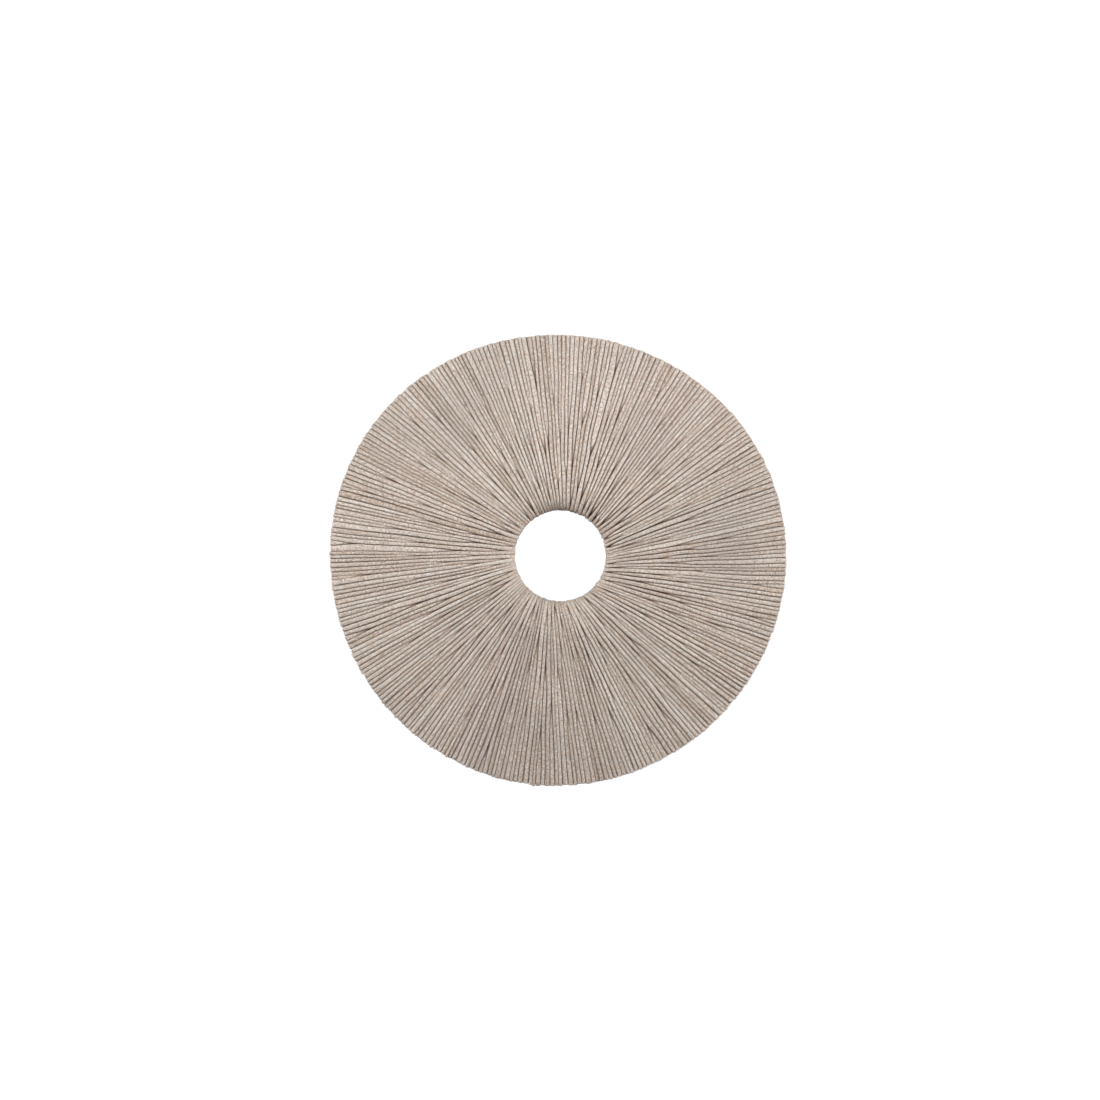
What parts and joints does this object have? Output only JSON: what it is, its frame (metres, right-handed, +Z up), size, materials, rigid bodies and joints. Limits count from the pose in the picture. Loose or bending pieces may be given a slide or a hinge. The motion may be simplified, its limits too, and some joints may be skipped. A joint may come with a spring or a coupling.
{
  "type": "felt polishing wheel",
  "caption": "Round polishing wheel of soft felt cords folded through a central bore and laid radially over both faces of a pressed felt core, trimmed flush at the rim.",
  "frame": {"origin": "middle of the bore, on the wheel's axis and midway between its two faces", "axes": "+Y along the wheel's axis, from the front face to the back face; +Z up and +X to the right as seen from the front"},
  "size_m": [0.1499, 0.0168, 0.15],
  "materials": {
    "felt_cord": "matte",
    "pressed_felt": "matte",
    "turned_steel": "satin"
  },
  "bodies": {
    "root": {"hub_ring": "turned_steel", "felt_core": "pressed_felt", "cord_hank_01": "felt_cord", "cord_hank_02": "felt_cord", "cord_hank_03": "felt_cord", "cord_hank_04": "felt_cord", "cord_hank_05": "felt_cord", "cord_hank_06": "felt_cord", "cord_hank_07": "felt_cord", "cord_hank_08": "felt_cord", "cord_hank_09": "felt_cord", "cord_hank_10": "felt_cord", "cord_hank_11": "felt_cord", "cord_hank_12": "felt_cord", "cord_hank_13": "felt_cord", "cord_hank_14": "felt_cord", "cord_hank_15": "felt_cord", "cord_hank_16": "felt_cord", "cord_hank_17": "felt_cord", "cord_hank_18": "felt_cord", "cord_hank_19": "felt_cord", "cord_hank_20": "felt_cord", "cord_hank_21": "felt_cord", "cord_hank_22": "felt_cord", "cord_hank_23": "felt_cord", "cord_hank_24": "felt_cord", "cord_hank_25": "felt_cord", "cord_hank_26": "felt_cord"}
  },
  "joints": []
}
